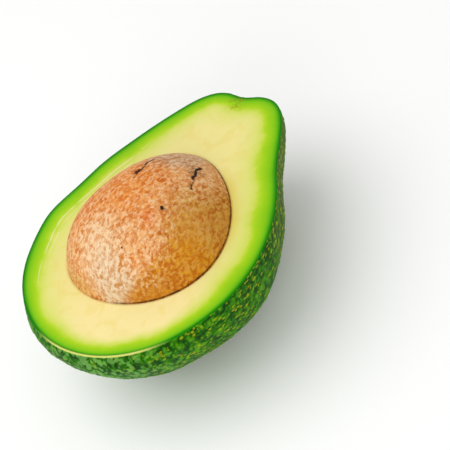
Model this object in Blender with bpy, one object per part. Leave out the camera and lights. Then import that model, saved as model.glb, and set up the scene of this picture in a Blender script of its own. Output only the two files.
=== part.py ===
"""Half an avocado, cut lengthways and lying on its back, with the pit still seated in its hollow.

Frame: +X runs along the fruit to the stem end, +Y is across it and +Z is up, away from the skin's flat
resting spot and out of the cut face. The origin is the middle of the resting spot, straight below the
widest part of the fruit. Lengths are in metres.
"""

import math

import bmesh
import bpy
from mathutils import Matrix, Vector

MM = 0.001

# The whole fruit: a round belly that tapers into a blunt neck.
BELLY_HALF_WIDTH = 40.8 * MM
BLOSSOM_REACH = 40.2 * MM
# Neck profile after the widest section: distance along the fruit and radius there, from the belly to
# the shoulders and in to the middle of the stem dimple.
NECK_PROFILE = [
    (0.0 * MM, BELLY_HALF_WIDTH),
    (15.0 * MM, 38.2 * MM),
    (30.0 * MM, 31.3 * MM),
    (44.0 * MM, 24.0 * MM),
    (53.0 * MM, 18.4 * MM),
    (58.0 * MM, 12.0 * MM),
    (59.2 * MM, 6.5 * MM),
    (58.0 * MM, 0.0 * MM),
]
DEPTH_SHARE = 0.955  # the fruit is a little shallower than it is wide
NECK_LEAN = -4.2 * MM  # how far the stem end swings to one side
LEAN_START = 24.0 * MM
# Just below the cut the blossom end swells outwards, most at SWELL_DEPTH down.
SWELL = 2.5 * MM
SWELL_START = -10.0 * MM
SWELL_FULL = -34.0 * MM
SWELL_DEPTH = 8.0 * MM
# The belly is shallower on the -Y side: it rises by this share, over a stretch along the fruit.
FLANK_RISE = 0.10
FLANK_MIDDLE = -26.0 * MM
FLANK_REACH = 16.0 * MM

# Layers.
SKIN_THICKNESS = 1.0 * MM
FIT_GAP = 0.3 * MM
FLAT_DEPTH = 1.3 * MM  # how far the underside is pressed flat where the half rests
CUT_HEIGHT = BELLY_HALF_WIDTH * DEPTH_SHARE - FLAT_DEPTH

# The pit, an egg with its narrow end towards the stem.
PIT_HALF_LENGTH = 29.0 * MM
PIT_HALF_WIDTH = 27.6 * MM
PIT_HALF_HEIGHT = 22.7 * MM
PIT_CENTRE = Vector((6.2 * MM, 0.4 * MM, CUT_HEIGHT - 6.2 * MM))
PIT_TAPER = 0.20
PIT_TURN = math.radians(10.0)

# Facets.
BLOSSOM_STEPS = 12
NECK_STEPS_PER_SPAN = 3
TURN_STEPS = 56
PIT_SEGMENTS = 28
PIT_RINGS = 16


def clear_scene():
    for obj in list(bpy.data.objects):
        bpy.data.objects.remove(obj)


def material(name, colour, roughness):
    made = bpy.data.materials.new(name)
    made.use_nodes = True
    shader = made.node_tree.nodes["Principled BSDF"]
    shader.inputs["Base Color"].default_value = (*colour, 1.0)
    shader.inputs["Roughness"].default_value = roughness
    shader.inputs["Metallic"].default_value = 0.0
    made.diffuse_color = (*colour, 1.0)
    return made


def through_points(points, steps_per_span):
    """A smooth line through 2D points (a Catmull-Rom spline), starting level at the first one."""
    first = Vector((-points[1].x, points[1].y))
    last = Vector((points[-2].x, -points[-2].y))
    ends = [first, *points, last]
    line = [points[0]]
    for a, b, c, d in zip(ends, ends[1:], ends[2:], ends[3:]):
        for step in range(1, steps_per_span + 1):
            t = step / steps_per_span
            line.append(
                0.5 * (2 * b + (c - a) * t + (2 * a - 5 * b + 4 * c - d) * t**2
                       + (3 * b - a - 3 * c + d) * t**3)
            )
    return line


def fruit_profile(inset):
    """(distance along the fruit, radius) from the blossom end to the stem end, moved in by inset."""
    line = []
    for step in range(BLOSSOM_STEPS):
        angle = 0.5 * math.pi * step / BLOSSOM_STEPS
        line.append(Vector((-BLOSSOM_REACH * math.cos(angle), BELLY_HALF_WIDTH * math.sin(angle))))
    line += through_points([Vector(point) for point in NECK_PROFILE], NECK_STEPS_PER_SPAN)
    moved = []
    for index, point in enumerate(line):
        before = line[index - 1] if index else Vector((line[1].x, -line[1].y))
        after = line[index + 1] if index + 1 < len(line) else Vector((line[-2].x, -line[-2].y))
        along = (after - before).normalized()
        moved.append(point + inset * Vector((along.y, -along.x)))
    moved[0].y = 0.0
    moved[-1].y = 0.0
    return moved


def slice_level(bm, height, keep_above):
    """Cuts the body at a level plane, keeps one side and closes it with one flat face."""
    sliced = bmesh.ops.bisect_plane(
        bm, geom=[*bm.verts, *bm.edges, *bm.faces], dist=0.001 * MM,
        plane_co=(0.0, 0.0, height), plane_no=(0.0, 0.0, 1.0),
        clear_inner=keep_above, clear_outer=not keep_above,
    )
    rim = [item for item in sliced["geom_cut"] if isinstance(item, bmesh.types.BMEdge)]
    bmesh.ops.contextual_create(bm, geom=rim)


def shaped(place):
    """A point of the turned body after it is made shallower, swollen and swung at the neck."""
    lean = max(0.0, (place.x - LEAN_START) / (NECK_PROFILE[-1][0] - LEAN_START))
    radius = math.hypot(place.y, place.z)
    sideways = max(0.0, -place.y / radius) if radius else 0.0
    rise = FLANK_RISE * sideways * math.exp(-((place.x - FLANK_MIDDLE) / FLANK_REACH) ** 2)
    depth = -place.z * DEPTH_SHARE * (1.0 - rise)
    share = min(1.0, max(0.0, (place.x - SWELL_START) / (SWELL_FULL - SWELL_START)))
    level = max(0.0, depth / SWELL_DEPTH)
    swell = SWELL * share**2 * (3.0 - 2.0 * share) * level * math.exp(1.0 - level)
    return Vector((place.x - swell, place.y + NECK_LEAN * lean**2, CUT_HEIGHT - depth))


def turned_fruit(inset):
    """The whole fruit moved in by inset: turned, shaped and sliced flat below."""
    bm = bmesh.new()
    line = [bm.verts.new((point.x, point.y, 0.0)) for point in fruit_profile(inset)]
    edges = [bm.edges.new(pair) for pair in zip(line, line[1:])]
    bmesh.ops.spin(
        bm, geom=line + edges, cent=(0, 0, 0), axis=(-1, 0, 0), angle=2.0 * math.pi,
        steps=TURN_STEPS, use_merge=False,
    )
    bmesh.ops.remove_doubles(bm, verts=bm.verts, dist=0.01 * MM)
    half_step = Matrix.Rotation(math.pi / TURN_STEPS, 3, "X")
    bmesh.ops.rotate(bm, verts=bm.verts, cent=(0, 0, 0), matrix=half_step)
    for vert in bm.verts:
        vert.co = shaped(vert.co)
    slice_level(bm, inset, keep_above=True)
    return bm


def half_fruit(inset):
    """The half below the cut, moved in by inset and closed by the flat cut face."""
    bm = turned_fruit(inset)
    slice_level(bm, CUT_HEIGHT, keep_above=False)
    return bm


def object_from(bm, name, finish, collection):
    bmesh.ops.recalc_face_normals(bm, faces=bm.faces)
    mesh = bpy.data.meshes.new(name)
    bm.to_mesh(mesh)
    bm.free()
    mesh.materials.append(finish)
    mesh.shade_smooth()
    mesh.set_sharp_from_angle(angle=math.radians(40.0))
    obj = bpy.data.objects.new(name, mesh)
    collection.objects.link(obj)
    return obj


def pit_body(name, grow, collection, finish):
    """An egg-shaped body the size of the pit, made larger all round by grow."""
    bm = bmesh.new()
    bmesh.ops.create_uvsphere(bm, u_segments=PIT_SEGMENTS, v_segments=PIT_RINGS, radius=1.0)
    poles_along_fruit = Matrix.Rotation(0.5 * math.pi, 4, "Y")
    for vert in bm.verts:
        unit = poles_along_fruit @ vert.co
        taper = 1.0 - PIT_TAPER * unit.x
        vert.co = Vector((
            unit.x * (PIT_HALF_LENGTH + grow),
            unit.y * (PIT_HALF_WIDTH * taper + grow),
            unit.z * (PIT_HALF_HEIGHT * taper + grow),
        ))
    obj = object_from(bm, name, finish, collection)
    obj.location = PIT_CENTRE
    obj.rotation_euler = (0.0, 0.0, PIT_TURN)
    return obj


def cut_from(body, cutter):
    """Takes the cutter's shape out of the body, and keeps the cutter out of the render."""
    cutter.hide_render = True
    cutter.display_type = "WIRE"
    cut = body.modifiers.new(cutter.name, "BOOLEAN")
    cut.operation = "DIFFERENCE"
    cut.solver = "EXACT"
    cut.object = cutter


def main():
    clear_scene()
    parts = bpy.data.collections.new("avocado_half")
    cutters = bpy.data.collections.new("cutters")
    bpy.context.scene.collection.children.link(parts)
    bpy.context.scene.collection.children.link(cutters)

    peel = material("skin", (0.05, 0.16, 0.02), 0.42)
    pulp = material("flesh", (0.78, 0.76, 0.28), 0.38)
    seed_coat = material("pit", (0.55, 0.24, 0.08), 0.6)

    skin = object_from(half_fruit(0.0), "skin", peel, parts)
    cut_from(skin, object_from(turned_fruit(SKIN_THICKNESS), "skin_inside", peel, cutters))

    flesh = object_from(half_fruit(SKIN_THICKNESS + FIT_GAP), "flesh", pulp, parts)
    cut_from(flesh, pit_body("pit_hollow", FIT_GAP, cutters, seed_coat))

    pit_body("pit", 0.0, parts, seed_coat)


main()
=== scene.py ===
"""Half an avocado with its pit, lying on its back: the finish of its peel, its flesh and its seed.

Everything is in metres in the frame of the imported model: +X runs along the fruit to the stem end, +Y is
across it, and +Z is up out of the level cut face. The lowest point of the peel rests on z = 0.
"""

from __future__ import annotations

import logging
import math
from dataclasses import dataclass
from enum import Enum

import bmesh
import bpy
import numpy as np
from mathutils import Matrix, Vector

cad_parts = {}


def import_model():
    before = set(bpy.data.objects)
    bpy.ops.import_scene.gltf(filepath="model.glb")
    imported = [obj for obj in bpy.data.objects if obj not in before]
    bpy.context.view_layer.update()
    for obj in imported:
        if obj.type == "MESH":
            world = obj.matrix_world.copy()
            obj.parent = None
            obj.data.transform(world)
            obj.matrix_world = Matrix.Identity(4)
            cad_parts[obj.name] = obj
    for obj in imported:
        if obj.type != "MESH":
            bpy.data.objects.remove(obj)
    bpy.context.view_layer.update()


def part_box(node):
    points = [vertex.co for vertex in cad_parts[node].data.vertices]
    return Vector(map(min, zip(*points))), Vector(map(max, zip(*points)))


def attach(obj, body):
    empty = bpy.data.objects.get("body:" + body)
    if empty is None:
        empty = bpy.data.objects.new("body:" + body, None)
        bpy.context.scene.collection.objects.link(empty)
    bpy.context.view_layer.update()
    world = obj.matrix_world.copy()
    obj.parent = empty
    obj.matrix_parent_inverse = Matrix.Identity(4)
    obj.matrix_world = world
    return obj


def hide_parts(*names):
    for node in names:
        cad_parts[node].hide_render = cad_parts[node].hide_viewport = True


MM = 0.001
BLOSSOM_SHARE = 0.679  # the blossom end's reach from the belly, as a share of the stem end's
DEPTH_SHARE = 0.955  # the half's depth, as a share of the belly's half width
PIT_ALONG = 6.2 * MM  # how far the pit's middle lies towards the stem
PIT_SINK = 6.2 * MM  # how far it lies below the cut
LOG = logging.getLogger("avocado_half")

Tone = tuple[float, float, float]


class Slot(Enum):
    """The pieces' names in the imported model, one for each piece."""

    SKIN = "skin"
    FLESH = "flesh"
    PIT = "pit"


# ---- Number helpers ----


def tone(red: float, green: float, blue: float) -> Tone:
    """Turn a display colour into the linear colour that a shader takes.

    Args:
        red: red from 0 to 255.
        green: green from 0 to 255.
        blue: blue from 0 to 255.

    Returns:
        The three linear channels, from 0 to 1.
    """
    share = np.array([red, green, blue]) / 255.0
    linear = np.where(share <= 0.04045, share / 12.92, ((share + 0.055) / 1.055) ** 2.4)
    return tuple(float(channel) for channel in linear)


def soft_step(values: np.ndarray, start: float, end: float) -> np.ndarray:
    """Rise smoothly from 0 at start to 1 at end: t * t * (3 - 2 t), with t held between 0 and 1.

    Args:
        values: the numbers to map.
        start: where the result leaves 0.
        end: where it reaches 1; it may lie below start, for a fall.

    Returns:
        An array like values, from 0 to 1.
    """
    share = np.clip((values - start) / (end - start), 0.0, 1.0)
    return share * share * (3.0 - 2.0 * share)


def bell(distance: np.ndarray, width: float) -> np.ndarray:
    """Return a round hill: e to the power of minus (distance / width) squared."""
    return np.exp(-((distance / width) ** 2))


def smooth_line(points: np.ndarray, per_span: int) -> np.ndarray:
    """Run a Catmull-Rom spline through points in a plane, mirrored in the first axis at both ends.

    Each span between b and c with neighbours a and d follows
    0.5 (2b + (c - a) t + (2a - 5b + 4c - d) t^2 + (3b - a - 3c + d) t^3).

    Args:
        points: the points to pass through, one row each.
        per_span: how many points to give between two neighbours.

    Returns:
        The points of the line, from the first given point to the last.
    """
    first = points[0] * 2.0 - points[1]
    first[1] = points[1, 1]
    last = points[-2] * np.array([1.0, -1.0])
    ends = np.vstack([first, points, last])
    a, b, c, d = ends[:-3, None], ends[1:-2, None], ends[2:-1, None], ends[3:, None]
    t = (np.arange(per_span) / per_span)[None, :, None]
    spans = 0.5 * (2 * b + (c - a) * t + (2 * a - 5 * b + 4 * c - d) * t**2
                   + (3 * b - a - 3 * c + d) * t**3)
    return np.vstack([spans.reshape(-1, 2), points[-1:]])


def even_line(line: np.ndarray, count: int) -> np.ndarray:
    """Place count points at even steps of length along a line."""
    steps = np.linalg.norm(np.diff(line, axis=0), axis=1)
    travelled = np.concatenate([[0.0], np.cumsum(steps)])
    wanted = np.linspace(0.0, travelled[-1], count)
    return np.stack([np.interp(wanted, travelled, values) for values in line.T], axis=1)


def distance_to_path(points: np.ndarray, path: np.ndarray) -> np.ndarray:
    """Return each point's distance to the nearest straight stretch of a path.

    For a stretch from a to b the nearest place is a + (b - a) t, where t is the share of the way that
    the point projects to, held between 0 and 1.
    """
    start, end = path[:-1], path[1:]
    along = end - start
    nearest = np.full(len(points), np.inf)
    for origin, step in zip(start, along):
        share = np.clip((points - origin) @ step / (step @ step), 0.0, 1.0)
        gap = np.linalg.norm(points - origin - share[:, None] * step, axis=1)
        nearest = np.minimum(nearest, gap)
    return nearest


@dataclass(frozen=True)
class LatticeNoise:
    """Smooth random heights: random numbers on a cubic lattice, blended between its corners."""

    seed: int
    size: int = 48

    def at(self, points: np.ndarray, wavelength: float) -> np.ndarray:
        """Read the noise at many points at once.

        The eight corners round a point are blended by the soft weights t * t * (3 - 2 t) along each axis.

        Args:
            points: places in metres, one row each.
            wavelength: the lattice's spacing in metres.

        Returns:
            One value from -1 to 1 for each point.
        """
        lattice = np.random.default_rng(self.seed).uniform(-1.0, 1.0, (self.size,) * 3)
        turned = points @ np.array([[0.36, 0.48, -0.80], [-0.80, 0.60, 0.0], [0.48, 0.64, 0.60]]).T
        place = turned / wavelength
        low = np.floor(place).astype(int)
        share = place - low
        share = share * share * (3.0 - 2.0 * share)
        total = np.zeros(len(points))
        for corner in np.ndindex(2, 2, 2):
            step = np.array(corner)
            weight = np.prod(np.where(step == 1, share, 1.0 - share), axis=1)
            x, y, z = ((low + step) % self.size).T
            total += weight * lattice[x, y, z]
        return total


# ---- Mesh helpers ----


def grid_faces(rows: int, columns: int) -> np.ndarray:
    """Return the four-cornered faces of a grid whose last column joins its first.

    Args:
        rows: the number of rows of points.
        columns: the number of points in a row.

    Returns:
        One row of four point numbers for each face.
    """
    row, column = np.meshgrid(np.arange(rows - 1), np.arange(columns), indexing="ij")
    beside = (column + 1) % columns
    corners = [row * columns + column, row * columns + beside,
               (row + 1) * columns + beside, (row + 1) * columns + column]
    return np.stack(corners, axis=-1).reshape(-1, 4)


def closed_piece(name: str, grid: np.ndarray, masks: dict[str, np.ndarray]) -> bpy.types.Object:
    """Make a closed, smooth object from a grid whose first and last rows each shrink to a point or seam.

    Args:
        name: the object's name.
        grid: the points, rows by columns by 3.
        masks: values to store on the points, by name. One number each, or a colour each.

    Returns:
        The new object, linked to the scene, at the origin.
    """
    rows, columns, _ = grid.shape
    mesh = bpy.data.meshes.new(name)
    mesh.from_pydata(grid.reshape(-1, 3).tolist(), [], grid_faces(rows, columns).tolist())
    for label, values in masks.items():
        if values.shape[-1] == 3 and values.ndim == 3:
            layer = mesh.attributes.new(label, "FLOAT_COLOR", "POINT")
            opaque = np.ones((rows * columns, 1))
            layer.data.foreach_set("color", np.hstack([values.reshape(-1, 3), opaque]).ravel())
        else:
            layer = mesh.attributes.new(label, "FLOAT", "POINT")
            layer.data.foreach_set("value", values.ravel())
    work = bmesh.new()
    work.from_mesh(mesh)
    bmesh.ops.remove_doubles(work, verts=work.verts, dist=0.001 * MM)
    bmesh.ops.recalc_face_normals(work, faces=work.faces)
    work.to_mesh(mesh)
    work.free()
    mesh.shade_smooth()
    piece = bpy.data.objects.new(name, mesh)
    bpy.context.scene.collection.objects.link(piece)
    return piece


# ---- Shader helpers ----


class Sheet:
    """One node tree being drawn: adds nodes and fills or joins their inputs in one call."""

    def __init__(self, tree: bpy.types.NodeTree) -> None:
        """Keep the tree that the nodes go into."""
        self.tree = tree

    def fill(self, node: bpy.types.Node, inputs: dict[str | int, object]) -> None:
        """Join an input where a socket is given, and set its value otherwise."""
        for key, value in inputs.items():
            socket = node.inputs[key]
            if isinstance(value, bpy.types.NodeSocket):
                self.tree.links.new(value, socket)
            elif socket.type == "RGBA" and len(value) == 3:
                socket.default_value = (*value, 1.0)
            else:
                socket.default_value = value

    def add(
        self, kind: str, inputs: dict[str | int, object] | None = None, **settings: object,
    ) -> bpy.types.Node:
        """Add a node.

        Args:
            kind: the node's type name, without the ShaderNode prefix.
            inputs: values or sockets by input name or number.
            **settings: properties of the node itself.

        Returns:
            The new node.
        """
        node = self.tree.nodes.new(f"ShaderNode{kind}")
        for key, value in settings.items():
            setattr(node, key, value)
        self.fill(node, inputs or {})
        return node

    def effect(self, group: bpy.types.NodeTree, inputs: dict[str, object]) -> bpy.types.NodeSocket:
        """Place an effect group with its own values and return its first output."""
        node = self.tree.nodes.new("ShaderNodeGroup")
        node.node_tree = group
        self.fill(node, inputs)
        return node.outputs[0]

    def maths(self, operation: str, first: object, second: object = 0.0) -> bpy.types.NodeSocket:
        """Work out one number from two, such as MULTIPLY or ADD."""
        return self.add("Math", {0: first, 1: second}, operation=operation).outputs[0]

    def times(self, total: object, *factors: object) -> bpy.types.NodeSocket:
        """Multiply numbers together."""
        for factor in factors:
            total = self.maths("MULTIPLY", total, factor)
        return total

    def rise(self, value: object, start: object, end: object) -> bpy.types.NodeSocket:
        """Rise smoothly from 0 at start to 1 at end, which may lie below start, for a fall."""
        return self.add("MapRange", {"Value": value, "From Min": start, "From Max": end},
                        interpolation_type="SMOOTHSTEP").outputs[0]

    def spread(self, value: object, low: float, high: float) -> bpy.types.NodeSocket:
        """Carry a number from 0 to 1 into the range from low to high."""
        return self.add("MapRange", {"Value": value, "To Min": low, "To Max": high}).outputs[0]

    def blend(
        self, share: object, first: object, second: object, mode: str = "MIX",
    ) -> bpy.types.NodeSocket:
        """Mix two colours by a share from 0, the first, to 1, the second."""
        node = self.add("Mix", data_type="RGBA", blend_type=mode)
        self.fill(node, {0: share, 6: first, 7: second})
        return node.outputs[2]

    def ramp(
        self, share: object, stops: list[tuple[float, Tone]], reach: float = 1.0,
    ) -> bpy.types.NodeSocket:
        """Turn a number into a colour by a row of stops, whose places are divided by reach."""
        node = self.add("ValToRGB", {0: share})
        bar = node.color_ramp
        bar.elements.remove(bar.elements[0])
        for index, (place, colour) in enumerate(stops):
            stop = bar.elements[0] if index == 0 else bar.elements.new(place / reach)
            stop.position = place / reach
            stop.color = (*colour, 1.0)
        return node.outputs[0]

    def mask(self, name: str, output: str = "Fac") -> bpy.types.NodeSocket:
        """Read a value stored on the piece's points."""
        return self.add("Attribute", attribute_name=name).outputs[output]


def new_effect(
    name: str, vectors: tuple[str, ...], numbers: dict[str, float],
) -> tuple[Sheet, dict[str, bpy.types.NodeSocket], bpy.types.NodeSocket]:
    """Start an effect group that gives one mask.

    Args:
        name: the group's name.
        vectors: the names of its vector inputs.
        numbers: its number inputs, with the value that each starts with.

    Returns:
        The sheet to draw on, the inputs' sockets by name, and the socket that takes the mask.
    """
    group = bpy.data.node_groups.new(name, "ShaderNodeTree")
    for label in vectors:
        group.interface.new_socket(label, in_out="INPUT", socket_type="NodeSocketVector")
    for label, start in numbers.items():
        entry = group.interface.new_socket(label, in_out="INPUT", socket_type="NodeSocketFloat")
        entry.default_value = start
    group.interface.new_socket("Mask", in_out="OUTPUT", socket_type="NodeSocketFloat")
    given = group.nodes.new("NodeGroupInput").outputs
    result = group.nodes.new("NodeGroupOutput").inputs["Mask"]
    return Sheet(group), {label: given[label] for label in (*vectors, *numbers)}, result


@dataclass(frozen=True)
class Effects:
    """The effect groups that the finishes share."""

    mottle: bpy.types.NodeTree
    specks: bpy.types.NodeTree
    patch: bpy.types.NodeTree

    @classmethod
    def build(cls) -> Effects:
        """Draw each group once.

        Returns:
            The groups.
        """
        return cls(cls._mottle(), cls._specks(), cls._patch())

    @staticmethod
    def _mottle() -> bpy.types.NodeTree:
        """Cloudy noise spread between two levels: 0 below Low and 1 above High."""
        sheet, given, result = new_effect("Mottle", ("Position",), {
            "Scale": 100.0, "Detail": 3.0, "Twist": 0.0, "Low": 0.3, "High": 0.7})
        cloud = sheet.add("TexNoise", {
            "Vector": given["Position"], "Scale": given["Scale"], "Detail": given["Detail"],
            "Roughness": 0.55, "Distortion": given["Twist"]})
        sheet.tree.links.new(sheet.rise(cloud.outputs[0], given["Low"], given["High"]), result)
        return sheet.tree

    @staticmethod
    def _specks() -> bpy.types.NodeTree:
        """Scattered round specks of mixed size, one at most in each cell, in the Share of cells given."""
        sheet, given, result = new_effect(
            "Specks", ("Position",), {"Scale": 500.0, "Size": 0.3, "Share": 0.6})
        place, scale = given["Position"], given["Scale"]
        jitter = sheet.add("TexNoise", {"Vector": place, "Scale": scale, "Detail": 1.0})
        push = sheet.add("VectorMath", {0: jitter.outputs["Color"], 3: 0.5 * MM}, operation="SCALE")
        warped = sheet.add("VectorMath", {0: place, 1: push.outputs[0]}, operation="ADD")
        cells = sheet.add("TexVoronoi", {"Vector": warped.outputs[0], "Scale": scale, "Randomness": 0.9})
        draw = sheet.add("SeparateColor", {0: cells.outputs["Color"]})
        radius = sheet.times(given["Size"], sheet.maths("ADD", draw.outputs[1], 0.45))
        spot = sheet.rise(sheet.maths("SUBTRACT", radius, cells.outputs["Distance"]), -0.06, 0.06)
        chosen = sheet.maths("LESS_THAN", draw.outputs[0], given["Share"])
        sheet.tree.links.new(sheet.times(spot, chosen), result)
        return sheet.tree

    @staticmethod
    def _patch() -> bpy.types.NodeTree:
        """A soft round patch: 1 inside Radius round Centre, falling to 0 over Softness."""
        sheet, given, result = new_effect(
            "Patch", ("Position", "Centre"), {"Radius": 10.0 * MM, "Softness": 10.0 * MM})
        gap = sheet.add("VectorMath", {0: given["Position"], 1: given["Centre"]}, operation="DISTANCE")
        outer = sheet.maths("ADD", given["Radius"], given["Softness"])
        sheet.tree.links.new(sheet.rise(gap.outputs["Value"], outer, given["Radius"]), result)
        return sheet.tree


class FinishSheet(Sheet):
    """A material being drawn, with its Principled shader, the piece's own coordinates and the effects."""

    def __init__(self, name: str, effects: Effects) -> None:
        """Start the material.

        Args:
            name: the material's name.
            effects: the shared effect groups.
        """
        self.material = bpy.data.materials.new(name)
        self.material.use_nodes = True
        super().__init__(self.material.node_tree)
        self.effects = effects
        self.place = self.add("TexCoord").outputs["Object"]

    def drawn_out(self, shares: tuple[float, float, float]) -> bpy.types.NodeSocket:
        """Scale the coordinates, so that a pattern is drawn out along the axes with a small share."""
        return self.add("Mapping", {"Vector": self.place, "Scale": shares}).outputs[0]

    def mottle(
        self, scale: float, detail: float, low: float, high: float,
        twist: float = 0.0, position: object = None,
    ) -> bpy.types.NodeSocket:
        """Mask a cloudy pattern, at the piece's own coordinates unless a position is given."""
        return self.effect(self.effects.mottle, {
            "Position": self.place if position is None else position,
            "Scale": scale, "Detail": detail, "Twist": twist, "Low": low, "High": high})

    def specks(self, position: object, scale: float, size: float, share: float) -> bpy.types.NodeSocket:
        """Mask scattered specks."""
        return self.effect(self.effects.specks, {
            "Position": position, "Scale": scale, "Size": size, "Share": share})

    def patch(
        self, centre: tuple[float, float, float], radius: float, softness: float,
    ) -> bpy.types.NodeSocket:
        """Mask a soft round patch about a place on the piece."""
        return self.effect(self.effects.patch, {
            "Position": self.place, "Centre": centre, "Radius": radius, "Softness": softness})

    def finish(
        self, colour: object, rough: object, relief: object,
        strength: float, height: float, specular: float,
    ) -> bpy.types.Material:
        """Join what was drawn to the shader.

        Args:
            colour: the surface's colour.
            rough: its roughness.
            relief: its fine unevenness, from 0 to 1.
            strength: how strongly the unevenness shows.
            height: how high it is in metres.
            specular: the shader's specular level.

        Returns:
            The finished material.
        """
        bump = self.add("Bump", {"Strength": strength, "Distance": height, "Height": relief})
        self.fill(self.tree.nodes["Principled BSDF"], {
            "Base Color": colour, "Roughness": rough, "Normal": bump.outputs[0],
            "Specular IOR Level": specular})
        return self.material


# ---- Shapes that the pieces share ----


@dataclass(frozen=True)
class FruitForm:
    """The fruit's outer form: a half ellipse at the blossom end, and a spline down the neck.

    The neck's points are shares of the stem's reach along the fruit and of the belly's half width.
    """

    cut_height: float
    belly: float
    blossom: float
    stem: float
    depth_share: float
    neck: tuple[tuple[float, float], ...] = (
        (0.0, 1.0), (0.186, 0.962), (0.382, 0.868), (0.583, 0.708), (0.777, 0.555),
        (0.912, 0.424), (0.980, 0.300), (1.0, 0.165), (0.984, 0.0),
    )
    blossom_bulge: float = 2.5 * MM
    bulge_depth: float = 8.0 * MM
    shoulder: float = 0.8 * MM
    shoulder_middle: float = 3.0 * MM
    dip_middle: float = 18.0 * MM
    dip_share: float = 0.7
    shoulder_reach: float = 7.0 * MM
    flank_rise: float = 0.10
    flank_middle: float = -26.0 * MM
    flank_reach: float = 16.0 * MM
    belly_sway: float = -0.9 * MM
    neck_sway: float = -3.3 * MM
    blossom_sway: float = 0.6 * MM
    blossom_points: int = 60
    neck_span_points: int = 24
    finer: int = 4
    floor_points: int = 400

    @classmethod
    def from_box(cls, low: Vector, high: Vector) -> FruitForm:
        """Read the form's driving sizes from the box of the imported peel.

        Args:
            low: the box's lowest corner.
            high: its highest corner.

        Returns:
            The form.
        """
        belly = 0.5 * (high.y - low.y)
        return cls(high.z, belly, blossom=BLOSSOM_SHARE * high.x, stem=high.x, depth_share=DEPTH_SHARE)

    def profile(self, inset: float, count: int) -> tuple[np.ndarray, np.ndarray]:
        """Give places along the fruit and the radius there, evenly spaced from blossom end to stem.

        Args:
            inset: how far the form is moved in from the peel's outside.
            count: how many places to give.

        Returns:
            The distances along the fruit, and the radii.
        """
        turn = np.linspace(0.0, 0.5 * math.pi, self.blossom_points, endpoint=False)
        blossom_end = np.stack([-self.blossom * np.cos(turn), self.belly * np.sin(turn)], axis=1)
        neck = smooth_line(np.array(self.neck) * [self.stem, self.belly], self.neck_span_points)
        line = even_line(np.vstack([blossom_end, neck]), self.finer * count)
        along = np.gradient(line, axis=0)
        along /= np.linalg.norm(along, axis=1, keepdims=True)
        moved = line + inset * np.stack([along[:, 1], -along[:, 0]], axis=1)
        moved[:, 1] = np.maximum(moved[:, 1], 0.0)
        moved[[0, -1], 1] = 0.0
        even = even_line(moved, count)
        return even[:, 0], even[:, 1]

    def sway(self, along: np.ndarray) -> np.ndarray:
        """Return how far the middle line swings sideways at each distance along the fruit."""
        neck = self.neck_sway * soft_step(along, 0.5 * self.stem, 1.05 * self.stem)
        belly = self.belly_sway * soft_step(along, -8.0 * MM, 15.0 * MM)
        return neck + belly + self.blossom_sway * soft_step(along, -5.0 * MM, -25.0 * MM)

    def shallow(self, along: np.ndarray, sideways: np.ndarray) -> np.ndarray:
        """Give the share of its depth that one flank keeps, where sideways is the cosine of the turn.

        It is depth share x (1 - flank rise x how far it faces to -Y x a hill along the belly).
        """
        flank = np.clip(-sideways, 0.0, 1.0) * bell(along - self.flank_middle, self.flank_reach)
        return self.depth_share * (1.0 - self.flank_rise * flank)

    def widened(self, along: np.ndarray, across: np.ndarray) -> np.ndarray:
        """Give how much wider the +Y flank is, for its soft shoulder where the belly meets the neck.

        It is 1 + shoulder x (a hill before the shoulder less a smaller one after it) / belly.
        """
        hill = bell(along - self.shoulder_middle, self.shoulder_reach)
        flank = hill - self.dip_share * bell(along - self.dip_middle, self.shoulder_reach)
        return 1.0 + np.where(across > 0.0, self.shoulder * flank / self.belly, 0.0)

    def place(self, along: np.ndarray, radius: np.ndarray, turn: np.ndarray) -> np.ndarray:
        """Turn the profile round the fruit's middle line, a little shallower than wide.

        Across it is sway + widened x radius cos(turn), and the height is the cut less shallow x radius
        sin(turn). Just below the cut the blossom end swells outwards by bulge x share x e to the power
        of (1 - share), where share is the depth over the bulge's depth.
        """
        across = self.sway(along) + self.widened(along, np.cos(turn)) * radius * np.cos(turn)
        depth = self.shallow(along, np.cos(turn)) * radius * np.sin(turn)
        swell = self.blossom_bulge * soft_step(along, -10.0 * MM, -34.0 * MM)
        share = depth / self.bulge_depth
        shifted = along - swell * share * np.exp(1.0 - share)
        return np.stack(np.broadcast_arrays(shifted, across, self.cut_height - depth), axis=-1)

    def rim(self, inset: float, count: int) -> np.ndarray:
        """Give the outline of the cut face moved in by inset, as a closed line of points in plan."""
        along, radius = self.profile(inset, count)
        left = self.place(along, radius, np.array(0.0))[:, :2]
        right = self.place(along, radius, np.array(math.pi))[::-1, :2]
        return np.vstack([left, right[1:-1]])

    def floor_height(self, plan: np.ndarray, inset: float) -> np.ndarray:
        """Give the height of the fruit's underside below points in plan, moved in by inset."""
        along, radius = self.profile(inset, self.floor_points)
        widest_end = int(np.argmax(along))
        half_width = np.interp(plan[..., 0], along[:widest_end], radius[:widest_end], right=0.0)
        across = plan[..., 1] - self.sway(plan[..., 0])
        across = across / self.widened(plan[..., 0], across)
        depth = np.sqrt(np.maximum(half_width**2 - across**2, 0.0))
        sideways = across / np.maximum(half_width, 0.1 * MM)
        return self.cut_height - self.shallow(plan[..., 0], sideways) * depth


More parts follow.
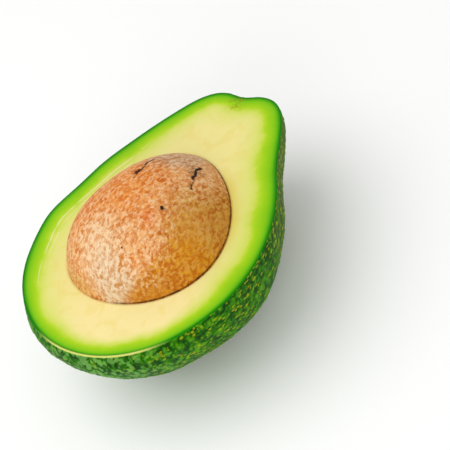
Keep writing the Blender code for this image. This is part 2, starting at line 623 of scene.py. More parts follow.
@dataclass(frozen=True)
class PitForm:
    """The seed's egg: an ellipsoid that narrows by its taper towards the stem, turned a little."""

    centre: tuple[float, float, float]
    half_length: float = 29.0 * MM
    half_width: float = 27.6 * MM
    half_height: float = 22.7 * MM
    taper: float = 0.20
    turn: float = math.radians(10.0)
    lip_rounds: int = 8

    def point(self, unit: np.ndarray, grow: float) -> np.ndarray:
        """Carry points of a unit ball onto the egg, grown all round by grow.

        Across and up are scaled by 1 - taper x the unit length, and the egg is turned in plan.
        """
        narrow = 1.0 - self.taper * unit[..., 0]
        along = unit[..., 0] * (self.half_length + grow)
        across = unit[..., 1] * (self.half_width * narrow + grow)
        height = unit[..., 2] * (self.half_height * narrow + grow)
        cosine, sine = math.cos(self.turn), math.sin(self.turn)
        shifted = [along * cosine - across * sine, along * sine + across * cosine, height]
        return np.stack(shifted, axis=-1) + np.array(self.centre)

    def lip_angle(self, bearing: np.ndarray, cut_height: float, grow: float) -> np.ndarray:
        """Find how far from straight up the egg crosses the cut, for each bearing round it.

        The unit height there is (cut - centre) / (half height x narrowing + grow), and the narrowing
        depends on the answer, so it is worked out again a few times until it settles.
        """
        rise = cut_height - self.centre[2]
        angle = np.full_like(bearing, 0.5 * math.pi)
        for _ in range(self.lip_rounds):
            narrow = 1.0 - self.taper * np.sin(angle) * np.cos(bearing)
            angle = np.arccos(rise / (self.half_height * narrow + grow))
        return angle


# ---- Peel ----


@dataclass(frozen=True)
class PeelFinish:
    """Leathery green peel: painted shade darkens its creases, a painted sheen whitens its pebble tops,
    and it is dotted with pale specks.
    """

    deep: Tone = tone(14, 62, 0)
    leaf: Tone = tone(39, 109, 0)
    fresh: Tone = tone(92, 160, 12)
    # colour of the painted sheen on the pebble tops
    painted_sheen: Tone = tone(120, 172, 96)
    speck: Tone = tone(164, 168, 20)
    olive: Tone = tone(84, 92, 0)
    cut_edge: Tone = tone(22, 128, 2)
    cut_rind: Tone = tone(206, 212, 110)
    roughness: float = 0.42

    def build(self, effects: Effects, cut_height: float) -> bpy.types.Material:
        """Draw the material.

        Args:
            effects: the shared effect groups.
            cut_height: the height of the cut face, where the peel's edge shows.

        Returns:
            The material.
        """
        sheet = FinishSheet("peel", effects)
        raised = sheet.mask("raised")
        drawn = sheet.drawn_out((0.55, 1.0, 0.9))
        axes = sheet.add("SeparateXYZ", {0: sheet.place}).outputs
        broad = sheet.mottle(scale=110.0, detail=3.0, twist=0.6, low=0.34, high=0.66)
        fine = sheet.mottle(scale=560.0, detail=3.0, twist=0.9, low=0.36, high=0.64, position=drawn)
        # painted shade: the colour runs from deep green down in the creases to fresh green on the pebble
        # tops, mixed with a random fine mottle
        height = sheet.maths("ADD", sheet.times(raised, 0.55), sheet.times(fine, 0.45))
        colour = sheet.ramp(height, [(0.12, self.deep), (0.5, self.leaf), (0.95, self.fresh)])
        colour = sheet.blend(sheet.times(broad, 0.22), colour, self.deep)
        # painted sheen: pale grey-green on the pebble tops at the blossom end
        colour = self._painted_sheen(sheet, colour, raised, cut_height)
        right = sheet.rise(axes[0], 2.0 * MM, 34.0 * MM)
        colour = sheet.blend(sheet.times(right, 0.5), colour, self.olive)
        specks = self._specks(sheet, drawn, axes[0])
        colour = sheet.blend(sheet.times(specks, 0.72), colour, self.speck)
        low = sheet.rise(axes[2], 10.0 * MM, 1.0 * MM)
        colour = sheet.blend(sheet.times(low, 0.5), colour, self.olive)
        rind = sheet.patch((-39.0 * MM, -7.0 * MM, cut_height), 13.0 * MM, 12.0 * MM)
        lip = sheet.blend(rind, self.cut_edge, self.cut_rind)
        edge = sheet.rise(axes[2], cut_height - 0.45 * MM, cut_height - 0.12 * MM)
        colour = sheet.blend(edge, colour, lip)
        rough = sheet.spread(fine, self.roughness, self.roughness + 0.14)
        relief = sheet.maths("ADD", sheet.times(specks, 0.6), sheet.times(fine, 0.6))
        return sheet.finish(colour, rough, relief, strength=0.4, height=0.25 * MM, specular=0.05)

    def _painted_sheen(
        self, sheet: FinishSheet, colour: object, raised: object, cut_height: float,
    ) -> bpy.types.NodeSocket:
        """Paint a pale sheen on the tops of the pebbles, like a waxy bloom, mostly at the lit blossom
        end.
        """
        end = sheet.patch((-46.0 * MM, -6.0 * MM, cut_height - 14.0 * MM), 8.0 * MM, 26.0 * MM)
        return sheet.blend(sheet.times(sheet.rise(raised, 0.42, 0.7), end, 0.5), colour, self.painted_sheen)

    def _specks(self, sheet: FinishSheet, drawn: object, along: object) -> bpy.types.NodeSocket:
        """Scatter small and large specks, fewer towards the blossom end."""
        small = sheet.specks(drawn, scale=900.0, size=0.28, share=0.85)
        large = sheet.specks(drawn, scale=560.0, size=0.17, share=0.6)
        crowd = sheet.mottle(scale=130.0, detail=2.0, twist=0.4, low=0.24, high=0.40, position=drawn)
        reach = sheet.add("MapRange", {"Value": along, "From Min": -40.0 * MM, "From Max": -26.0 * MM,
                                       "To Min": 0.25}, interpolation_type="SMOOTHSTEP").outputs[0]
        return sheet.times(sheet.maths("MAXIMUM", sheet.times(small, crowd), large), reach)


@dataclass
class Peel:
    """The peel: a pebbled shell, open at the cut, where it thins to a fine edge."""

    form: FruitForm
    thickness: float = 0.45 * MM
    back_thickness: float = 1.1 * MM
    rows: int = 300
    outer_columns: int = 250
    inner_columns: int = 30
    pebble: float = 0.30 * MM
    pebble_size: float = 1.2 * MM
    fine_pebble_size: float = 0.75 * MM
    dent: float = 0.35 * MM
    dent_size: float = 11.0 * MM
    edge_relief: float = 0.15
    fade_depth: float = 3.0 * MM
    sink: float = 0.1 * MM

    def wall(self, inset: float, turn: np.ndarray) -> np.ndarray:
        """Give the fruit's form moved in by inset, as a grid with a row for each place along it."""
        along, radius = self.form.profile(inset, self.rows)
        return self.form.place(along[:, None], radius[:, None], turn[None, :])

    def relief(self, points: np.ndarray) -> tuple[np.ndarray, np.ndarray]:
        """Give the peel's unevenness: broad dents, and pebbles with creases between them.

        A pebble's height is the size of a noise, which is rounded on top and sharp where it is zero. The
        pebbles are a little longer down the fruit's side than round it.

        Args:
            points: places on the smooth peel, in a grid.

        Returns:
            The height to add at each place in metres, and how raised its pebble is, from 0 to 1.
        """
        flat = points.reshape(-1, 3)
        drawn = flat * np.array([1.0, 1.0, 0.6])
        pebbles = np.abs(LatticeNoise(3).at(drawn, self.pebble_size))
        pebbles += 0.5 * np.abs(LatticeNoise(5).at(drawn, self.fine_pebble_size))
        broad = LatticeNoise(7).at(flat, self.dent_size)
        height = self.pebble * (pebbles - 0.6) + self.dent * broad
        raised = soft_step(pebbles, 0.05, 0.85)
        return height.reshape(points.shape[:-1]), raised.reshape(points.shape[:-1])

    def grid(self) -> tuple[np.ndarray, np.ndarray]:
        """Work out the shell as a ring of points in each row: out over the back, and in again.

        Returns:
            The points, rows by columns by 3, and how raised the pebble is at each.
        """
        outer = self.wall(0.0, np.linspace(0.0, math.pi, self.outer_columns))
        across = np.gradient(outer, axis=0)
        around = np.gradient(outer, axis=1)
        normal = np.cross(around, across)
        size = np.linalg.norm(normal, axis=-1, keepdims=True)
        normal = np.where(size > 0.0, normal / np.maximum(size, 1e-15), 0.0)
        middle = np.array([0.0, 0.0, self.form.cut_height])
        outward = np.sign(np.sum(normal * (outer - middle), axis=-1, keepdims=True))
        below = self.form.cut_height - outer[..., 2]
        fade = self.edge_relief + (1.0 - self.edge_relief) * soft_step(below, 0.0, self.fade_depth)
        normal[..., 2] *= soft_step(below, 0.0, 0.6 * MM)
        height, raised = self.relief(outer)
        outer = outer + normal * outward * (fade * height - self.sink)[..., None]
        outer[[0, -1]] = outer[[0, -1]].mean(axis=1, keepdims=True)
        inner_turn = np.linspace(math.pi, 0.0, self.inner_columns)
        thin, thick = (self.wall(inset, inner_turn) for inset in (self.thickness, self.back_thickness))
        share = soft_step(self.form.cut_height - thin[..., 2:], 0.0, self.fade_depth)
        inner = thin * (1.0 - share) + thick * share
        outer[..., 2] = np.maximum(outer[..., 2], 0.0)
        inner[..., 2] = np.maximum(inner[..., 2], self.back_thickness)
        return np.concatenate([outer, inner], axis=1), np.pad(raised, ((0, 0), (0, self.inner_columns)))

    def build(self, effects: Effects) -> bpy.types.Object:
        """Make the peel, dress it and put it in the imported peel's place.

        Args:
            effects: the shared effect groups.

        Returns:
            The peel.
        """
        points, raised = self.grid()
        piece = closed_piece("peel", points, {"raised": raised})
        piece.data.materials.append(PeelFinish().build(effects, self.form.cut_height))
        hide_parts("skin")
        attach(piece, "root")
        return piece


# ---- Flesh ----


@dataclass(frozen=True)
class FleshFinish:
    """Moist cut flesh: bright green under the peel, lime further in, and cream round the pit.

    The bands are colours by depth in millimetres from the peel. Each pale fibre has its depth and width.
    """

    bands: tuple[tuple[float, Tone], ...] = (
        (0.0, tone(40, 132, 1)), (0.45, tone(66, 154, 3)), (1.0, tone(100, 180, 8)),
        (1.7, tone(126, 192, 13)), (2.9, tone(146, 200, 18)), (4.0, tone(162, 206, 26)),
        (4.9, tone(182, 211, 50)), (5.9, tone(203, 216, 90)), (7.8, tone(218, 220, 118)),
        (10.4, tone(226, 221, 134)), (15.0, tone(234, 222, 144)),
    )
    cream: Tone = tone(241, 224, 156)
    butter: Tone = tone(226, 204, 92)
    vein: Tone = tone(244, 230, 186)
    fleck: Tone = tone(150, 128, 28)
    fibres: tuple[tuple[float, float], ...] = ((6.0, 0.34), (7.7, 0.26))
    band_reach: float = 15.0
    roughness: float = 0.40

    def build(self, effects: Effects, form: FruitForm, pit: PitForm) -> bpy.types.Material:
        """Draw the material.

        Args:
            effects: the shared effect groups.
            form: the fruit's form, for places on the cut face.
            pit: the seed's form, for the tints round it.

        Returns:
            The material.
        """
        sheet = FinishSheet("flesh", effects)
        depth = sheet.mask("depth_mm")
        from_pit = sheet.mask("from_pit_mm")
        cloud = sheet.mottle(scale=85.0, detail=4.0, twist=0.4, low=0.2, high=0.8)
        grain = sheet.mottle(scale=520.0, detail=3.0, twist=0.8, low=0.2, high=0.8)
        wander = sheet.maths("ADD", sheet.times(cloud, 2.2), sheet.times(grain, 0.5))
        settle = sheet.add("MapRange", {"Value": depth, "From Min": 0.3, "From Max": 5.0}).outputs[0]
        shifted = sheet.maths("ADD", depth, sheet.times(sheet.maths("SUBTRACT", wander, 1.35), settle))
        share = sheet.maths("DIVIDE", shifted, self.band_reach)
        colour = sheet.ramp(share, list(self.bands), self.band_reach)
        inner = sheet.rise(shifted, 6.0, 11.0)
        warm = sheet.patch((-26.0 * MM, -12.0 * MM, form.cut_height), 12.0 * MM, 18.0 * MM)
        colour = sheet.blend(sheet.times(warm, inner), colour, self.cream)
        curd = sheet.mottle(scale=190.0, detail=4.0, twist=0.6, low=0.46, high=0.66)
        colour = sheet.blend(sheet.times(curd, inner, 0.28), colour, self.butter)
        # painted shade: the flesh beside the pit's shaded side deepened to butter yellow
        colour = self._painted_pit_shade(sheet, colour, from_pit, pit, form)
        colour = self._fibres(sheet, colour, depth, form)
        colour = self._stem_fleck(sheet, colour, form)
        rough = sheet.spread(grain, self.roughness - 0.08, self.roughness + 0.12)
        relief = sheet.maths("ADD", sheet.times(cloud, 0.6), sheet.times(grain, 0.4))
        return sheet.finish(colour, rough, relief, strength=0.25, height=0.2 * MM, specular=0.08)

    def _painted_pit_shade(
        self, sheet: FinishSheet, colour: object, from_pit: object, pit: PitForm, form: FruitForm,
    ) -> bpy.types.NodeSocket:
        """Paint shade on the flesh: deepen it to butter yellow in a narrow band along the pit's shaded
        side.
        """
        centre = (pit.centre[0] + 12.0 * MM, pit.centre[1] - 24.0 * MM, form.cut_height)
        side = sheet.patch(centre, 7.0 * MM, 12.0 * MM)
        return sheet.blend(sheet.times(sheet.rise(from_pit, 4.0, 0.0), side, 0.75), colour, self.butter)

    def _fibres(
        self, sheet: FinishSheet, colour: object, depth: object, form: FruitForm,
    ) -> bpy.types.NodeSocket:
        """Draw pale broken fibres that run along one flank at an even depth from the peel."""
        flank = sheet.patch((8.0 * MM, 36.0 * MM, form.cut_height), 22.0 * MM, 14.0 * MM)
        broken = sheet.mottle(scale=90.0, detail=3.0, low=0.44, high=0.56)
        drift = sheet.mottle(scale=60.0, detail=2.0, low=0.0, high=1.0)
        swung = sheet.maths("ADD", depth, sheet.times(drift, 1.6))
        for fibre_depth, width in self.fibres:
            gap = sheet.maths("ABSOLUTE", sheet.maths("SUBTRACT", swung, fibre_depth))
            share = sheet.times(sheet.rise(gap, width, 0.0), flank, broken, 0.65)
            colour = sheet.blend(share, colour, self.vein)
        return colour

    def _stem_fleck(self, sheet: FinishSheet, colour: object, form: FruitForm) -> bpy.types.NodeSocket:
        """Draw the small brown flecks where the stem's fibres end, just inside the notch."""
        spot = sheet.patch((form.stem - 3.4 * MM, -3.0 * MM, form.cut_height), 0.8 * MM, 4.5 * MM)
        crumbs = sheet.mottle(scale=900.0, detail=2.0, twist=1.5, low=0.50, high=0.62)
        return sheet.blend(sheet.times(spot, crumbs, 0.7), colour, self.fleck)


@dataclass
class Flesh:
    """The flesh: a solid half with a level cut face and the hollow that the pit sits in."""

    form: FruitForm
    pit: PitForm
    peel_thickness: float
    back_inset: float = 1.5 * MM
    ledge: float = 0.5 * MM
    hollow_gap: float = 0.12 * MM
    columns: int = 400
    back_rows: int = 40
    face_rows: int = 110
    hollow_rows: int = 24
    rim_points: int = 900
    depth_points: int = 700
    lip_round: float = 0.28 * MM
    ripple: float = 0.10 * MM
    band: float = 1.17
    blossom_narrowing: float = 0.57
    stem_narrowing: float = 0.25
    blossom_bearing: float = math.radians(165.0)

    def lip(self) -> tuple[np.ndarray, np.ndarray]:
        """Work out the hollow's edge on the cut face.

        Returns:
            The bearing round the pit for each column, and how far from straight up the edge lies.
        """
        bearing = np.linspace(0.0, 2.0 * math.pi, self.columns, endpoint=False)
        return bearing, self.pit.lip_angle(bearing, self.form.cut_height, self.hollow_gap)

    def hollow(self, bearing: np.ndarray, angle: np.ndarray) -> np.ndarray:
        """Give the hollow's wall: the pit's egg, grown by the gap, at a bearing and an angle from up."""
        unit = np.stack(np.broadcast_arrays(
            np.sin(angle) * np.cos(bearing), np.sin(angle) * np.sin(bearing), np.cos(angle)), axis=-1)
        return self.pit.point(unit, self.hollow_gap)

    def outer_rim(self, lip_plan: np.ndarray) -> np.ndarray:
        """Give the cut face's outer edge straight outwards from each point of the hollow's edge."""
        centre = np.array(self.pit.centre[:2])
        outline = self.form.rim(self.peel_thickness, self.rim_points) - centre
        bearing = np.arctan2(outline[:, 1], outline[:, 0])
        order = np.argsort(bearing)
        reach = np.hypot(outline[:, 0], outline[:, 1])[order]
        outward = lip_plan - centre
        wanted = np.arctan2(outward[:, 1], outward[:, 0])
        radius = np.interp(wanted, bearing[order], reach, period=2.0 * math.pi)
        return centre + radius[:, None] * np.stack([np.cos(wanted), np.sin(wanted)], axis=1)

    def face_height(self, plan: np.ndarray, from_lip: np.ndarray) -> np.ndarray:
        """Give the cut face's height: level, faintly rippled by the knife, and rounded off at the pit."""
        flat = np.concatenate([plan, np.zeros((*plan.shape[:-1], 1))], axis=-1).reshape(-1, 3)
        wave = self.ripple * (LatticeNoise(11).at(flat, 7.0 * MM) - 1.0).reshape(plan.shape[:-1])
        drop = self.lip_round * (1.0 - soft_step(from_lip, -0.3 * self.lip_round, 2.4 * self.lip_round))
        return self.form.cut_height + wave - drop

    def nearest(self, plan: np.ndarray, outline: np.ndarray) -> np.ndarray:
        """Give the distance from each point of a grid in plan to a closed outline, row by row."""
        return np.stack([
            np.sqrt(((row[:, None] - outline[None]) ** 2).sum(axis=-1)).min(axis=1) for row in plan
        ])

    def build(self, effects: Effects) -> bpy.types.Object:
        """Make the flesh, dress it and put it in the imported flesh's place.

        Args:
            effects: the shared effect groups.

        Returns:
            The flesh.
        """
        bearing, lip_angle = self.lip()
        lip_plan = self.hollow(bearing, lip_angle)[:, :2]
        rim_plan = self.outer_rim(lip_plan)
        centre = np.array(self.pit.centre[:2])

        spread = np.sin(np.linspace(0.0, 0.5 * math.pi, self.back_rows))[:, None, None]
        back_plan = centre + (rim_plan - centre)[None] * spread
        back_height = self.form.floor_height(back_plan, self.back_inset)
        back_height = np.clip(back_height, self.back_inset, self.form.cut_height - self.ledge)
        back_height[-1] = self.form.cut_height
        back = np.concatenate([back_plan, back_height[..., None]], axis=-1)

        inward = np.linspace(0.0, 1.0, self.face_rows + 1)[1:, None, None]
        face_plan = rim_plan[None] + (lip_plan - rim_plan)[None] * inward
        from_lip = self.nearest(face_plan, lip_plan)
        face = np.concatenate([face_plan, self.face_height(face_plan, from_lip)[..., None]], axis=-1)

        down = np.linspace(0.0, 1.0, self.hollow_rows + 1)[1:, None]
        wall_angle = lip_angle[None] + (math.pi - lip_angle)[None] * down
        wall = self.hollow(bearing[None], wall_angle)

        grid = np.concatenate([back, face, wall])
        depth = np.zeros(grid.shape[:2])
        rows = slice(self.back_rows, self.back_rows + self.face_rows)
        swing = np.arctan2(face_plan[..., 1] - centre[1], face_plan[..., 0] - centre[0])
        blossom_side = (0.5 + 0.5 * np.cos(swing + self.blossom_bearing)) ** 4
        stem_side = (0.5 + 0.5 * np.cos(swing)) ** 16
        band = self.band - self.blossom_narrowing * blossom_side - self.stem_narrowing * stem_side
        outline = self.form.rim(self.peel_thickness, self.depth_points)
        depth[rows] = self.nearest(face_plan, outline) / band / MM
        depth[rows.stop:] = depth[rows.stop - 1]
        near = np.full(grid.shape[:2], 20.0)
        near[rows] = from_lip / MM
        near[rows.stop:] = 0.0
        piece = closed_piece("flesh_half", grid, {"depth_mm": depth, "from_pit_mm": near})
        piece.data.materials.append(FleshFinish().build(effects, self.form, self.pit))
        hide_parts("flesh")
        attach(piece, "root")
        return piece


# ---- Pit ----


@dataclass(frozen=True)
class Stain:
    """A soft patch of another tint on the pit, placed from the middle of the fruit at the cut."""

    tint: Tone
    centre_mm: tuple[float, float, float]
    radius_mm: float
    softness_mm: float
    strength: float = 1.0


@dataclass(frozen=True)
class Crack:
    """A dark split in the seed coat, along points placed from the middle of the fruit at the cut."""

    path_mm: tuple[tuple[float, float, float], ...]
    width_mm: float
    depth_mm: float


@dataclass(frozen=True)
class PitFinish:
    """Dry seed coat: its painted tint broken up by fine winding streaks, dark and pale."""

    stain: Tone = tone(216, 156, 66)
    streak: Tone = tone(206, 104, 24)
    pale: Tone = tone(240, 216, 180)
    # colour of the splits and of the painted shade where the pit meets the flesh
    split_and_shade: Tone = tone(52, 26, 8)
    roughness: float = 0.52

    def build(self, effects: Effects) -> bpy.types.Material:
        """Draw the material.

        Args:
            effects: the shared effect groups.

        Returns:
            The material.
        """
        sheet = FinishSheet("seed_coat", effects)
        tint, film, split_and_shade = sheet.mask("tint", "Color"), sheet.mask("film"), sheet.mask("split_and_shade")
        drawn = sheet.drawn_out((0.74, 1.0, 1.0))
        blotch = sheet.mottle(scale=860.0, detail=5.0, twist=0.6, low=0.38, high=0.64, position=drawn)
        flake = sheet.mottle(scale=980.0, detail=3.0, twist=0.7, low=0.42, high=0.60, position=drawn)
        broad = sheet.mottle(scale=110.0, detail=4.0, twist=0.8, low=0.3, high=0.7)
        dark = sheet.blend(1.0, tint, self.stain, "MULTIPLY")
        colour = sheet.blend(sheet.times(blotch, sheet.spread(broad, 0.55, 1.0)), tint, dark)
        bare = sheet.maths("SUBTRACT", 1.0, sheet.times(film, 0.8))
        gap = sheet.maths("SUBTRACT", 1.0, blotch)
        colour = sheet.blend(sheet.times(flake, gap, bare, 0.48), colour, self.pale)
        crumbs = sheet.specks(sheet.place, scale=420.0, size=0.2, share=0.16)
        colour = sheet.blend(sheet.times(crumbs, 0.45), colour, self.streak)
        # the split mask also carries the painted shade along the pit's contact with the flesh
        torn_and_shaded = sheet.rise(sheet.maths("ADD", split_and_shade, sheet.times(flake, 0.12)), 0.22, 0.66)
        colour = sheet.blend(torn_and_shaded, colour, self.split_and_shade)
        rough = sheet.spread(film, self.roughness + 0.1, self.roughness - 0.12)
        relief = sheet.maths("SUBTRACT", sheet.times(flake, 0.5), blotch)
        return sheet.finish(colour, rough, relief, strength=0.35, height=0.15 * MM, specular=0.08)


@dataclass
class Pit:
    """The seed: a smooth egg with two splits near its stem end and a few pinholes."""

    form: PitForm
    cut_height: float
    rows: int = 270
    columns: int = 340
    swell: float = 0.25 * MM
    swell_size: float = 13.0 * MM
    contact_shade_width: float = 0.42 * MM
    ground: Tone = tone(232, 172, 108)
    stains: tuple[Stain, ...] = (
        Stain(tone(235, 152, 66), (8.0, 2.0, 16.0), 6.0, 13.0, 1.0),
        Stain(tone(233, 152, 68), (-2.0, 12.0, 14.0), 3.0, 9.0, 0.8),
        Stain(tone(234, 194, 148), (-12.0, 1.0, 12.5), 5.0, 10.0, 0.9),
        Stain(tone(226, 200, 166), (-19.5, -4.5, 6.0), 3.5, 9.5, 1.0),
        Stain(tone(228, 126, 44), (-0.5, -11.5, 15.3), 1.5, 5.0, 0.7),
        Stain(tone(212, 176, 142), (28.0, 0.0, 5.0), 5.0, 9.0, 1.0),
        Stain(tone(208, 150, 58), (6.0, -26.0, 4.0), 10.0, 11.0, 1.0),
        Stain(tone(212, 146, 26), (-11.0, -23.5, 0.0), 8.0, 9.0, 1.0),
        Stain(tone(204, 136, 28), (-18.0, -16.0, -1.0), 4.0, 6.0, 0.9),
        Stain(tone(224, 176, 104), (-21.5, 8.0, 1.0), 3.0, 6.0, 0.8),
        Stain(tone(150, 100, 58), (22.6, -11.0, 7.8), 0.6, 3.2, 0.75),
    )
    cracks: tuple[Crack, ...] = (
        Crack(((23.6, 5.1, 9.3), (20.6, 5.4, 11.2), (17.9, 4.2, 12.5)), 0.45, 0.35),
        Crack(((17.9, 4.2, 12.5), (15.0, 3.9, 13.7)), 0.75, 0.55),
        Crack(((15.0, 3.9, 13.7), (13.4, 2.6, 14.4), (11.9, 2.5, 15.0)), 0.36, 0.35),
        Crack(((25.6, -9.9, 6.0), (23.4, -10.3, 7.4), (21.4, -11.8, 8.4)), 0.6, 0.4),
        Crack(((21.4, -11.8, 8.4), (19.9, -12.2, 9.1), (18.7, -13.5, 9.3)), 0.8, 0.55),
        Crack(((18.7, -13.5, 9.3), (16.4, -14.2, 10.0), (14.6, -15.5, 10.3)), 0.45, 0.5),
        Crack(((21.2, -11.8, 8.5), (20.8, -10.3, 9.5)), 0.4, 0.25),
    )
    pinholes_mm: tuple[tuple[float, float, float, float], ...] = (
        (4.1, -13.1, 14.5, 0.85), (-10.9, -7.2, 13.3, 0.42), (-3.0, 9.0, 14.6, 0.2),
    )

    def at_cut(self, place_mm: tuple[float, float, float]) -> np.ndarray:
        """Turn a place in millimetres from the fruit's middle at the cut into the model's metres."""
        return np.array(place_mm) * MM + np.array([0.0, 0.0, self.cut_height])

    def unit_ball(self) -> np.ndarray:
        """Give a grid over a unit ball whose poles lie along the fruit."""
        turn = np.linspace(0.0, math.pi, self.rows)[:, None]
        around = np.linspace(0.0, 2.0 * math.pi, self.columns, endpoint=False)[None, :]
        ball = [np.cos(turn), np.sin(turn) * np.cos(around), np.sin(turn) * np.sin(around)]
        return np.stack(np.broadcast_arrays(*ball), axis=-1)

    def split_mask(self, points: np.ndarray) -> tuple[np.ndarray, np.ndarray]:
        """Work out where the coat is split or pitted.

        Each crack is a bell across its path, roughened by noise; each pinhole is a bell round its centre.

        Args:
            points: the pit's points, one row each.

        Returns:
            How dark the split is at each point, from 0 to 1, and how deep it goes in metres.
        """
        rough = 1.0 + 0.55 * LatticeNoise(23).at(points, 0.8 * MM)
        rough += 0.35 * LatticeNoise(25).at(points, 2.4 * MM)
        dark = np.zeros(len(points))
        deep = np.zeros(len(points))
        for crack in self.cracks:
            path = np.array([self.at_cut(place) for place in crack.path_mm])
            hill = bell(distance_to_path(points, path) * rough, crack.width_mm * MM)
            dark = np.maximum(dark, hill)
            deep = np.maximum(deep, hill * crack.depth_mm * MM)
        for *place, radius in self.pinholes_mm:
            gap = np.linalg.norm(points - self.at_cut(tuple(place)), axis=1)
            hill = bell(gap * rough, radius * MM)
            dark = np.maximum(dark, hill)
            deep = np.maximum(deep, hill * 0.6 * radius * MM)
        worn = 0.68 + 0.5 * LatticeNoise(27).at(points, 1.1 * MM)
        return np.clip(dark * worn, 0.0, 1.0), deep

    def tints(self, points: np.ndarray) -> np.ndarray:
        """Paint the coat: the ground colour, blended towards each stain where its patch reaches.

        A patch's edge wanders with a noise, so that it isn't a circle.
        """
        wander = 3.0 * MM * LatticeNoise(29).at(points, 8.0 * MM)
        wander += 1.2 * MM * LatticeNoise(31).at(points, 2.6 * MM)
        colour = np.tile(np.array(self.ground), (len(points), 1))
        for stain in self.stains:
            gap = np.linalg.norm(points - self.at_cut(stain.centre_mm), axis=1) + wander
            outer = (stain.radius_mm + stain.softness_mm) * MM
            share = stain.strength * soft_step(gap, outer, stain.radius_mm * MM)[:, None]
            colour = colour * (1.0 - share) + np.array(stain.tint) * share
        return colour

    def film(self, points: np.ndarray) -> np.ndarray:
        """Mask the thin shiny film left on one side of the pit and low along the cut."""
        wander = 2.0 * MM * LatticeNoise(37).at(points, 5.0 * MM)
        side = soft_step(points[:, 1] + wander, -15.0 * MM, -22.0 * MM)
        low = soft_step(points[:, 2] - self.cut_height + wander, 6.0 * MM, 1.5 * MM)
        return np.maximum(side, low * soft_step(points[:, 0], 16.0 * MM, -4.0 * MM))

    def build(self, effects: Effects) -> bpy.types.Object:
        """Make the pit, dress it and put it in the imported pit's place.

        Args:
            effects: the shared effect groups.

        Returns:
            The pit.
        """
        unit = self.unit_ball()
        smooth = self.form.point(unit, 0.0).reshape(-1, 3)
        outward = smooth - np.array(self.form.centre)
        outward /= np.linalg.norm(outward, axis=1, keepdims=True)
        dark, deep = self.split_mask(smooth)
        from_cut = np.abs(smooth[:, 2] - self.cut_height)
        swell = self.swell * (LatticeNoise(17).at(smooth, self.swell_size) - 0.4)
        swell *= soft_step(from_cut, 0.0, 5.0 * MM)
        points = smooth + outward * (swell - deep)[:, None]
        shape = unit.shape[:2]
        # painted shade: a dark line low round the pit where it meets the flesh, strongest on the -Y side
        shade_side = 0.25 + 0.75 * soft_step(smooth[:, 1], 6.0 * MM, -12.0 * MM)
        contact_shade = bell(from_cut, self.contact_shade_width) * shade_side
        masks = {
            "tint": self.tints(smooth).reshape(*shape, 3),
            "film": self.film(smooth).reshape(shape),
            "split_and_shade": np.maximum(dark, 0.55 * contact_shade).reshape(shape),
        }
        piece = closed_piece("seed", points.reshape(unit.shape), masks)
        piece.data.materials.append(PitFinish().build(effects))
        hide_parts("pit")
        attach(piece, "root")
        return piece


# ---- Studio ----


@dataclass(frozen=True)
class Viewpoint:
    """The camera: turned round the fruit, looking down on it, and rolled so that the neck points up."""

    azimuth: float = math.radians(-35.0)
    elevation: float = math.radians(44.35)
    roll: float = math.radians(-33.35)
    distance: float = 334.3 * MM
    aim: tuple[float, float] = (11.0 * MM, -24.4 * MM)
    lens: float = 92.6

    def build(self, height: float) -> None:
        """Place the camera, aimed at a point at the height of the cut face."""
        level = Vector((math.cos(self.azimuth), math.sin(self.azimuth), 0.0))
        back = Vector((
            math.sin(self.azimuth) * math.cos(self.elevation),
            -math.cos(self.azimuth) * math.cos(self.elevation),
            math.sin(self.elevation),
        ))
        upright = back.cross(level)
        right = level * math.cos(self.roll) + upright * math.sin(self.roll)
        up = back.cross(right)
        data = bpy.data.cameras.new("camera")
        data.lens = self.lens
        data.clip_start = 0.01
        camera = bpy.data.objects.new("camera", data)
        turned = Matrix((right, up, back)).transposed().to_4x4()
        middle = Vector((*self.aim, height)) + back * self.distance
        camera.matrix_world = Matrix.Translation(middle) @ turned
        bpy.context.scene.collection.objects.link(camera)
        bpy.context.scene.camera = camera


@dataclass(frozen=True)
class SoftLight:
    """One large soft lamp, aimed at the fruit."""

    name: str
    place: tuple[float, float, float]
    size: float
    power: float

    def build(self, aim: Vector) -> None:
        """Place the lamp and turn it to the aim."""
        data = bpy.data.lights.new(self.name, "AREA")
        data.shape = "DISK"
        data.size = self.size
        data.energy = self.power
        lamp = bpy.data.objects.new(self.name, data)
        lamp.location = self.place
        lamp.rotation_euler = (aim - lamp.location).to_track_quat("-Z", "Y").to_euler()
        bpy.context.scene.collection.objects.link(lamp)


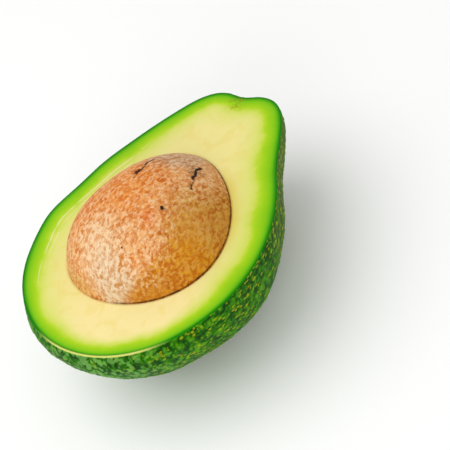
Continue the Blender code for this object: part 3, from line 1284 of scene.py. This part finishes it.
@dataclass
class Studio:
    """A pale floor, soft lamps and the camera."""

    floor_size: float = 3.0
    floor_tone: Tone = tone(252, 252, 251)
    sky_strength: float = 0.68
    lamps: tuple[SoftLight, ...] = (
        SoftLight("key", (-0.17, 0.20, 0.72), 0.90, 2.6),
        SoftLight("fill", (-0.58, -0.34, 0.30), 0.45, 1.2),
    )

    def build(self, form: FruitForm) -> None:
        """Set up the floor, the light and the camera.

        Args:
            form: the fruit's form, which gives the height to aim at.
        """
        mesh = bpy.data.meshes.new("floor")
        half = 0.5 * self.floor_size
        corners = [(-half, -half, 0.0), (half, -half, 0.0), (half, half, 0.0), (-half, half, 0.0)]
        mesh.from_pydata(corners, [], [(0, 1, 2, 3)])
        floor = bpy.data.objects.new("floor", mesh)
        bpy.context.scene.collection.objects.link(floor)
        paper = bpy.data.materials.new("floor_paper")
        paper.use_nodes = True
        shader = paper.node_tree.nodes["Principled BSDF"]
        Sheet(paper.node_tree).fill(shader, {"Base Color": self.floor_tone, "Roughness": 0.9})
        mesh.materials.append(paper)

        world = bpy.data.worlds.new("studio")
        world.use_nodes = True
        backdrop = world.node_tree.nodes["Background"]
        backdrop.inputs[0].default_value = (1.0, 1.0, 1.0, 1.0)
        backdrop.inputs[1].default_value = self.sky_strength
        bpy.context.scene.world = world
        bpy.context.scene.view_settings.view_transform = "Standard"

        aim = Vector((0.0, 0.0, form.cut_height))
        for lamp in self.lamps:
            lamp.build(aim)
        Viewpoint().build(form.cut_height)


def main() -> None:
    """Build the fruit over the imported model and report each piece."""
    logging.basicConfig(level=logging.INFO, format="%(name)s: %(message)s")
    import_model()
    form = FruitForm.from_box(*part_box(Slot.SKIN.value))
    pit_form = PitForm(centre=(PIT_ALONG, 0.0, form.cut_height - PIT_SINK))
    effects = Effects.build()

    peel = Peel(form)
    pieces = [
        peel.build(effects),
        Flesh(form, pit_form, peel.thickness).build(effects),
        Pit(pit_form, form.cut_height).build(effects),
    ]
    for piece in pieces:
        LOG.info("%s: %d faces", piece.name, len(piece.data.polygons))
    Studio().build(form)


if __name__ == "__main__":
    main()
